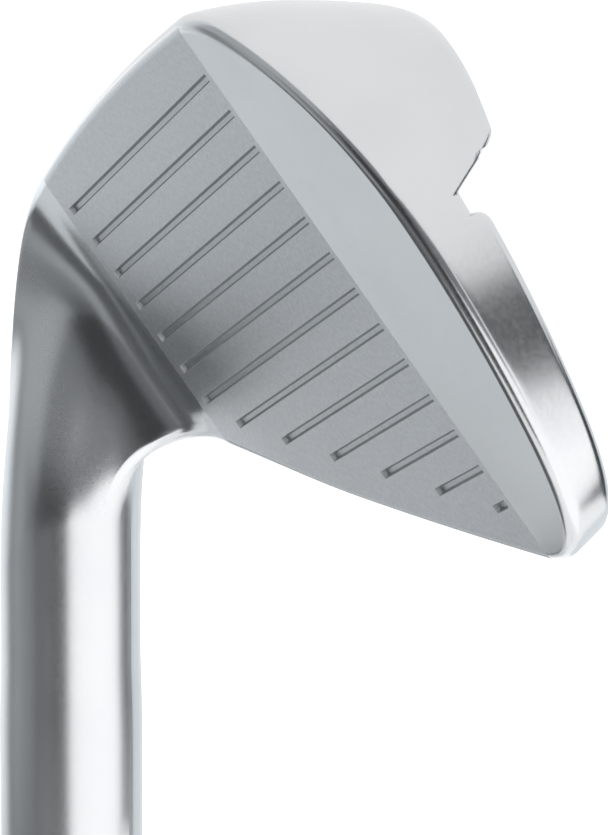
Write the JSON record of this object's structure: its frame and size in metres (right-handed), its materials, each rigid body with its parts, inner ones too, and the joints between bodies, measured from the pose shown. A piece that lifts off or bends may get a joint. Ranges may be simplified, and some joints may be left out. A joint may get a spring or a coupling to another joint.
{
  "type": "iron golf club",
  "caption": "Right-handed iron golf club: plated muscle-back head with scored face, bonded ferrule, stepped steel shaft and rubber grip.",
  "frame": {"origin": "centre of the grip cap's end face, on the shaft's axis", "axes": "+Z along the shaft's axis from the grip to the head, +X to the head's toe in the plane of lie, -Y the side that the face looks to"},
  "size_m": [0.0912, 0.0397, 0.9781],
  "materials": {
    "plated_steel": "satin chrome plate, bead-blasted hitting area",
    "ferrule_plastic": "polished",
    "epoxy": "cured resin",
    "weight_brass": "turned",
    "shaft_chrome": "polished plate",
    "tape_paper": "matt",
    "grip_rubber": "moulded pattern",
    "cap_rubber": "smooth"
  },
  "bodies": {
    "root": {"head": "plated_steel", "ferrule": "ferrule_plastic", "epoxy_bond": "epoxy", "tip_weight": "weight_brass", "shaft": "shaft_chrome", "grip_tape": "tape_paper", "grip": "grip_rubber", "grip_cap": "cap_rubber"}
  },
  "joints": []
}
